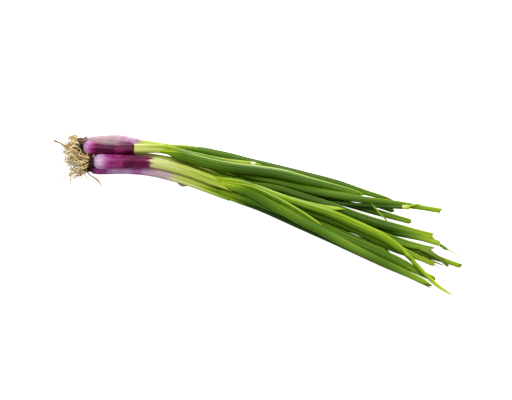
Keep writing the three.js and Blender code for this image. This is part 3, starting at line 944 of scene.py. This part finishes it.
def grow(start, heading, length, seed):
    """Paths (root, step, xyz): running totals of headings that wander with three sines each, and sink."""
    draws = np.random.default_rng(seed)
    count = len(start)
    t = np.linspace(0, 1, ROOT_STEPS)[None, :, None]
    turn = 0
    for rate, size in ((0.7, 0.8), (1.5, 0.9), (2.8, 0.7)):
        phase = draws.uniform(0, 2 * np.pi, (count, 1, 3))
        pace = rate * draws.uniform(0.7, 1.3, (count, 1, 3))
        turn = turn + size * np.sin(2 * np.pi * pace * t + phase)
    headings = unit(heading[:, None] + WANDER * np.sqrt(t) * turn - np.array([0, 0, SINKING]) * t)
    steps = headings * (length / (ROOT_STEPS - 1))[:, None, None]
    return start[:, None] + np.cumsum(steps, axis=1) - steps[:, :1]


def root_tubes(paths, radii):
    """Points (root, step, side, xyz) on rings of the radii, square to the paths."""
    along = unit(np.gradient(paths, axis=1))
    helper = np.where(np.abs(along[..., 2:]) < 0.8, [0.0, 0.0, 1.0], [1.0, 0.0, 0.0])
    across = unit(np.cross(helper, along))
    up = np.cross(along, across)
    angle = np.linspace(0, 2 * np.pi, ROOT_SIDES, endpoint=False)[:, None]
    out = np.cos(angle) * across[:, :, None] + np.sin(angle) * up[:, :, None]
    return paths[:, :, None] + radii[:, :, None, None] * out


def root_bundle(name, paths, radii, tones, replaced):
    """One mesh of many closed thin tubes, one tone per tube."""
    count, steps = paths.shape[:2]
    paths[..., 2] = np.maximum(paths[..., 2], radii + 0.1 * MM)
    tubes = root_tubes(paths, radii)
    points = np.concatenate([tubes.reshape(count, -1, 3), paths[:, [0, -1]]], axis=1)
    quads, fans = tube_faces(steps, ROOT_SIDES)
    shift = np.arange(count)[:, None, None] * points.shape[1]
    faces = ((quads[None] + shift).reshape(-1, 4), (fans[None] + shift).reshape(-1, 3))
    tone = np.repeat(tones, points.shape[1])
    points = points.reshape(-1, 3)
    return add_piece(name, points, faces, "roots", replaced, straight=points, tone=tone)


# lean: to the back, against a straight line out of the bulb; first: where on the crown roots begin;
# spread: how far they open; reach: shortest and longest root in mm
TUFT_LOOKS = {
    1: dict(lean=0.0, first=0.45, spread=0.8, reach=(9, 19)),
    2: dict(lean=-0.1, first=0.45, spread=0.8, reach=(10, 22)),
    3: dict(lean=0.15, first=0.32, spread=1.2, reach=(16, 38)),
    4: dict(lean=0.25, first=0.25, spread=1.2, reach=(14, 32)),
    5: dict(lean=0.1, first=0.4, spread=1.0, reach=(12, 26)),
    6: dict(lean=0.1, first=0.4, spread=1.0, reach=(12, 26)),
}


def make_roots(n):
    """Roots that start on the crown and spread outwards, backwards and to the tuft's leaning side."""
    tuft, look, count = TUFTS[n], TUFT_LOOKS[n], ROOT_COUNT
    draws = np.random.default_rng(100 + n)
    across, up = frames_of(tuft.centre)
    backwards = unit(tuft.centre[3] - tuft.centre[0]) + [0, look["lean"], 0]
    angle, share = draws.uniform(0, 2 * np.pi, count), draws.uniform(look["first"], 0.98, count)
    outwards = np.cos(angle)[:, None] * across[0] + np.sin(angle)[:, None] * up[0]
    middle = smooth(tuft.along, tuft.centre, CROWN_START + CROWN_LENGTH * share)
    start = middle + outwards * (ROOT_INSET * np.sin(np.pi * share) ** 0.5)[:, None]
    spread = outwards * [1, 1, 0.6] * draws.uniform(0.1, look["spread"], (count, 1))
    heading = unit(spread + backwards * draws.uniform(0.5, 1.0, (count, 1)))
    paths = grow(start, heading, draws.uniform(*look["reach"], count) * MM, 200 + n)
    paths[..., 2] = np.minimum(paths[..., 2], CAD_BOX[1][2] - TOP_GAP)
    thickness = draws.uniform(*ROOT_THICKNESS, count) * MM
    radii = thickness[:, None] * np.linspace(1, ROOT_TAPER, ROOT_STEPS)
    tones = draws.uniform(*ROOT_TONES, count)
    return root_bundle(f"onion_{n}_root_tuft", paths, radii, tones, [f"onion_{n}_roots"])


for n in ONIONS:
    piece = make_roots(n)
print("6 root tufts,", len(piece.data.polygons), "faces in the last one")

# %% [markdown]
# ## Old skins
# Scraps of dry outer skin still hang between the bulbs and the roots. A scrap is a sheet bent round
# the bulb, crumpled by ripples in three directions, with a ragged outline and a thin edge.

# %% Crumpled scraps
SCRAP_THICKNESS, SCRAP_RADIUS, SCRAP_TONE = 0.22 * MM, 3.5 * MM, 0.12


def sheet_piece(name, grid, tone, replaced):
    """A closed sheet: the grid moved half its thickness to each side of itself, and a rim."""
    du, dv = np.gradient(grid, axis=0), np.gradient(grid, axis=1)
    normal = np.cross(du, dv)
    normal /= np.maximum(np.linalg.norm(normal, axis=-1, keepdims=True), 1e-12)
    front, behind = grid + normal * SCRAP_THICKNESS / 2, grid - normal * SCRAP_THICKNESS / 2
    points = np.vstack([front.reshape(-1, 3), behind.reshape(-1, 3)])
    points[:, 2] = np.maximum(points[:, 2], OFF_TABLE)
    return add_piece(name, points, [sheet_faces(*grid.shape[:2])], "old_skin", replaced,
                     straight=points, tone=np.tile(tone.ravel(), 2))


def make_scrap(name, n, middle_angle, half_angle, s_from, s_to, lift, seed, pale=0, replaced=()):
    """Part of a sleeve round stem n: angles and distances on a grid, radius from the bulb plus crumples."""
    stem = STEMS[n]
    u, v = np.meshgrid(np.linspace(-1, 1, 48), np.linspace(0, 1, 36), indexing="ij")
    ragged = 0.22 * ripples(seed, 40 * MM * u, 3 * u, (2, 5, 9), 20 * MM)
    phi = middle_angle + half_angle * u * (1 - 0.5 * (2 * v - 1) ** 2)
    s = (s_from + (s_to - s_from) * (v + ragged * v)) * MM
    crumple = (0.9 * ripples(seed + 1, 5 * s, 4 * phi, (1, 2, 4))
               + 0.5 * ripples(seed + 2, 14 * s, 9 * phi, (1, 2, 3)))
    bulb = np.maximum(smooth(stem.along, stem.width, np.clip(s, 0, None)), SCRAP_RADIUS)
    radius = bulb + (lift + crumple) * MM
    grid = carry(stem, s, radius * np.cos(phi), radius * np.sin(phi))
    return sheet_piece(name, grid, SCRAP_TONE + pale + 0.22 * v + 0.1 * crumple, replaced)


# name, onion, middle angle and half angle round its bulb, from and to along it in mm, lift off the
# bulb in mm, seed, how much paler it is, and the plain pieces that it stands for
SCRAPS = [
    ("scrap_1", 2, 2.6, 1.3, -7, -0.5, 0.6, 1, 0, ["old_skin_1"]),
    ("scrap_2", 3, 3.6, 1.4, -7, -0.5, 0.8, 2, 0, ["old_skin_2"]),
    ("scrap_3", 2, 4.6, 1.2, -7, 0.5, 0.8, 3),
    ("scrap_4", 5, 3.4, 1.4, -4, 6, 0.8, 4),
    ("scrap_5", 3, 2.2, 1.0, -6, 0, 0.7, 5, 0.1),
    ("scrap_6", 1, 1.4, 1.4, -4, 4, 0.4, 6, 0.45),
    ("scrap_7", 4, 3.6, 1.3, -6, 2, 0.6, 7),
    ("scrap_8", 6, 1.2, 1.3, -4, 6, 0.8, 8),
]
for scrap in SCRAPS:
    make_scrap(*scrap)
print(len(SCRAPS), "scraps of old skin")

# %% [markdown]
# ## Strays and torn bits
# A few loose things give a bunch its untidy edge: torn rings and what hangs past them, dry threads at
# leaf ends, a strip across the leaves, folds of loose skin, a pale membrane at a neck, a leaf under
# the stems, and roots that stand out. A pale patch where a leaf bends is a painted highlight. Each is
# a thin flattened tube through a few points.

# %% Strays
def make_strand(name, slot, leaf, points, half_widths, flatness, tone, seed, dry=0.0, ragged=0.0):
    """A closed tube through points in mm: half-width from a list over its length, height = it x flatness."""
    base = LEAVES[leaf].centre[-1] if leaf else 0
    points = np.array(points, float) * MM + base
    line = SimpleNamespace(centre=points, along=distances(points))
    share, phi = tube_grid(np.linspace(0, 1, 60), 16)
    s = line.along[-1] * share
    width = np.interp(share, np.linspace(0, 1, len(half_widths)), half_widths) * MM
    width = width * (1 + 0.12 * ripples(seed, s, phi, (1, 2, 3), 12 * MM))
    x, y = width * np.cos(phi), width * flatness * np.sin(phi)
    reach = s + ragged * MM * teeth(seed, phi, (2, 3, 5)) * ease(share, 0.6, 1)
    grid = carry(line, reach, x, y)
    grid[..., 2] = np.clip(grid[..., 2], OFF_TABLE, CAD_BOX[1][2])
    tones = np.interp(share, np.linspace(0, 1, len(tone)), tone)
    straight = np.stack([x, y, s + 0.2 * seed], -1)
    return add_tube(name, grid, straight, slot, tone=tones, dry=dry, edge=9.0)


# name, slot, the leaf whose end its points are counted from, points in mm, half-widths in mm,
# flatness, tones, seed, how dry it is, and how ragged its end is in mm
STRANDS = [
    ("torn_ring", "leaf", (2, 2), [(-1.4, -1.1, -1.2), (3.2, -0.2, -1.4)], [2.2, 2.5, 2.4], 0.8,
     [0.9, 0.99, 0.94], 25, 0, 0.5),
    ("stub_past_ring", "leaf", (2, 2), [(1, -0.4, -1.2), (5, 0.4, -1.2), (10, 0.8, -1.6)],
     [1.5, 1.2, 0.4], 0.7, [0.8, 0.74, 0.8], 2),
    ("thread_onion_2", "leaf", (2, 3), [(-4, 0, 0), (4.8, 0.8, -2), (11.3, -0.4, -4)],
     [1.2, 0.7, 0.45], 0.5, [0.7, 0.8, 0.86], 3, 0.2),
    ("thread_onion_6", "leaf", (6, 3), [(-4, 0, 0), (2, 0, -1), (5.5, -1.2, -2.5)],
     [0.8, 0.4, 0.25], 0.5, [0.8, 0.6, 0.6], 4, 0.9),
    ("dried_end", "leaf", None,
     [(166, -7, 8), (176, -8.5, 8), (184.9, -11.2, 7), (193.5, -15.6, 5)],
     [1.8, 2.7, 2.2, 1.3], 0.45, [0.5, 0.46, 0.4, 0.3], 5, 0.45, 2.6),
    ("dried_thread", "leaf", (6, 1), [(-8, -7, -4), (2, -9, -5), (12, -10.5, -5)],
     [0.9, 0.9, 0.4], 0.5, [0.4, 0.3, 0.3], 6, 0.95, 1.0),
    ("broken_leaf", "leaf", None,
     [(66, 17, 11), (84.1, 20.8, 12), (102.6, 25.1, 12.5), (120.8, 29.5, 13), (137.5, 34.2, 13.5)],
     [1.8, 2.1, 2.1, 2.0, 2.1], 0.7, [0.2, 0.2, 0.22, 0.24, 0.3], 7),
    ("broken_leaf_ring", "leaf", None,
     [(136.4, 33.8, 13.6), (142.6, 36.2, 13.6)],
     [2.1, 2.5, 2.4], 0.8, [0.90, 0.86, 0.80], 26, 0, 0.6),
    ("broken_leaf_thread", "leaf", None,
     [(138, 35, 14), (144, 36.8, 15.4), (149.6, 40.9, 16), (156, 45.6, 16.4)],
     [1.5, 1.1, 0.7, 0.2], 0.5, [0.74, 0.74, 0.84, 0.95], 8),
    ("crossing_strip", "leaf", None,
     [(107, 28.5, 14), (110, 26.3, 14), (117.6, 20.5, 13), (125, 15.8, 11.5), (128, 14, 10)],
     [0.7, 1.0, 0.9, 0.9, 0.6], 0.35, [0.46, 0.56, 0.62, 0.58, 0.46], 9),
    ("thin_leaf_end", "leaf", None,
     [(170, 9, 5), (178, 7, 6), (188, 4.1, 5.2)],
     [1.8, 1.7, 1.5], 0.7, [0.4, 0.5, 0.62], 20, 0, 0.6),
    ("grey_flap", "old_skin", None,
     [(-84, 3.5, 3), (-79, 1.6, 2), (-74.7, 0.0, 1.9), (-71.1, 1.6, 1.9), (-66, 6, 3)],
     [0.6, 1.4, 2.0, 1.6, 0.5], 0.6, [0.78, 0.82, 0.8, 0.82, 0.78], 10),
    ("pale_membrane", "leaf", None,
     [(-60, 16.3, 17), (-57.9, 16.3, 17.8), (-49.6, 16.4, 18.2), (-36.9, 15.9, 18), (-24.2, 15.3, 17)],
     [0.4, 1.2, 1.5, 1.0, 0.3], 0.3, [0.7, 0.9, 0.86, 0.8, 0.6], 21),
    # Painted highlight: a pale strand laid where a leaf bends at its knee.
    ("leaf_knee", "leaf", None,
     [(149, -19.6, 15.8), (151.4, -20.9, 15.8), (156.9, -23.7, 14.8), (161.5, -26.1, 13)],
     [0.5, 1.1, 1.6, 0.8], 0.5, [0.56, 0.7, 0.8, 0.6], 27),
    ("under_leaf", "leaf", None,
     [(-70, 12.4, 2.2), (-51.8, 10.6, 2.5), (-36.5, 8.9, 2.5), (-21.3, 7.2, 2.5), (-0.2, 3.4, 2.5),
      (21.8, -1.3, 2.5)],
     [2.0, 2.6, 2.8, 2.8, 2.6, 2.0], 0.8, [0.5, 0.34, 0.22, 0.2, 0.2, 0.2], 28),
    ("skin_fold_1", "old_skin", None,
     [(-167.2, -6.9, 24), (-161.8, -11.4, 24), (-160.8, -16.3, 22), (-156.1, -19.4, 20)],
     [0.6, 1.2, 1.3, 0.6], 0.5, [0.7, 0.85, 0.8, 0.5], 22),
    ("skin_fold_2", "old_skin", None,
     [(-173.6, -9.3, 25), (-168.5, -11.2, 24), (-163.1, -16.0, 22)],
     [0.8, 1.7, 1.1], 0.5, [0.5, 0.62, 0.45], 23),
    ("skin_fold_3", "old_skin", None,
     [(-177.6, -11.9, 26), (-170.9, -15.1, 23), (-166.2, -17.2, 17), (-161.7, -17.1, 9)],
     [1.4, 2.6, 2.4, 1.6], 0.5, [0.15, 0.3, 0.3, 0.2], 24),
    ("thick_root", "roots", None,
     [(-182, -14, 27), (-187.8, -14.6, 28), (-198.3, -11.2, 27), (-206, -9.2, 26)],
     [0.9, 1.0, 0.8, 0.9], 0.9, [0.5, 0.3, 0.25, -0.1], 11),
    ("stray_root_1", "roots", None,
     [(-172, -15, 3), (-165.2, -18.1, 1.2), (-155.9, -21.8, 0.9), (-147.7, -27.6, 0.8)],
     [0.5, 0.6, 0.9, 0.5], 0.8, [0.6, 0.5, 0.3, 0.6], 12),
    ("stray_root_2", "roots", None,
     [(-176, -14, 3), (-169.8, -19.9, 1), (-165, -24, 0.7), (-159.8, -29.2, 0.6)],
     [0.4, 0.35, 0.3, 0.25], 0.9, [0.8, 0.8, 0.8], 13),
    ("stray_root_3", "roots", None,
     [(-186, -8, 6), (-195, -10, 2), (-202, -9, 0.8), (-208, -10.1, 0.5)],
     [0.45, 0.35, 0.3, 0.2], 0.9, [0.8, 0.9, 0.9], 14),
    ("stray_root_4", "roots", None,
     [(-184, -10, 5), (-190, -14, 2), (-198.4, -17.7, 0.6), (-206, -16, 0.5)],
     [0.45, 0.35, 0.3, 0.2], 0.9, [0.8, 0.9, 0.9], 15),
]
for strand in STRANDS:
    make_strand(*strand)
print(len(STRANDS), "strays and torn bits")

# %% [markdown]
# ## Table and light
# The table is plain and white. It throws a soft grey light on the bunch, and to the camera it also
# glows, so that it looks white without lighting the bunch more. One soft lamp stands behind, as a
# window would, and draws the pale lines along the leaves. A wider one hangs above, and the world
# fills the shadows.

# %% Table and lights
WINDOW, CEILING, SKY = (-0.5, 1.6, 0.75), (0.1, -0.2, 1.8), 0.55
TABLE_GREYS = [(0.0, (0.60, 0.60, 0.60, 1)), (1.0, (0.66, 0.66, 0.66, 1))]


def make_table(size=4.0):
    """A square on the ground: grey by a wide noise for the light, and with a glow for the camera."""
    corners = size * np.array([[-1, -1, 0], [1, -1, 0], [1, 1, 0], [-1, 1, 0]])
    table = make_mesh("table", corners, [np.array([[0, 1, 2, 3]])], smooth_faces=False)
    material, tree, shader = new_material("white table")
    place = add_node(tree, "ShaderNodeTexCoord").outputs["Object"]
    mottle = add_node(tree, "ShaderNodeTexNoise", Vector=place, Scale=6.0)
    tree.links.new(ramp(tree, mottle.outputs["Fac"], TABLE_GREYS), shader.inputs["Base Color"])
    glow = add_node(tree, "ShaderNodeLightPath")
    tree.links.new(glow.outputs["Is Camera Ray"], shader.inputs["Emission Strength"])
    set_constants(shader, Emission_Color=(1.0, 1.0, 1.0, 1), Roughness=0.9, Specular_IOR_Level=0.1)
    table.data.materials.append(material)


def add_lamp(name, place, size, power):
    """A square soft lamp that points at the middle of the bunch."""
    data = bpy.data.lights.new(name, "AREA")
    data.size, data.energy = size, power
    lamp = bpy.data.objects.new(name, data)
    lamp.location = place
    lamp.rotation_euler = Vector(place).to_track_quat("Z", "Y").to_euler()
    bpy.context.scene.collection.objects.link(lamp)


make_table()
add_lamp("window", WINDOW, 0.4, 24)
add_lamp("ceiling", CEILING, 1.2, 20)
world = bpy.data.worlds.new("studio")
world.use_nodes = True
sky = world.node_tree.nodes["Background"]
sky.inputs["Color"].default_value, sky.inputs["Strength"].default_value = (1, 1, 1, 1), SKY
bpy.context.scene.world = world
bpy.context.scene.view_settings.view_transform = "Standard"
print("table, two lamps and a white world")
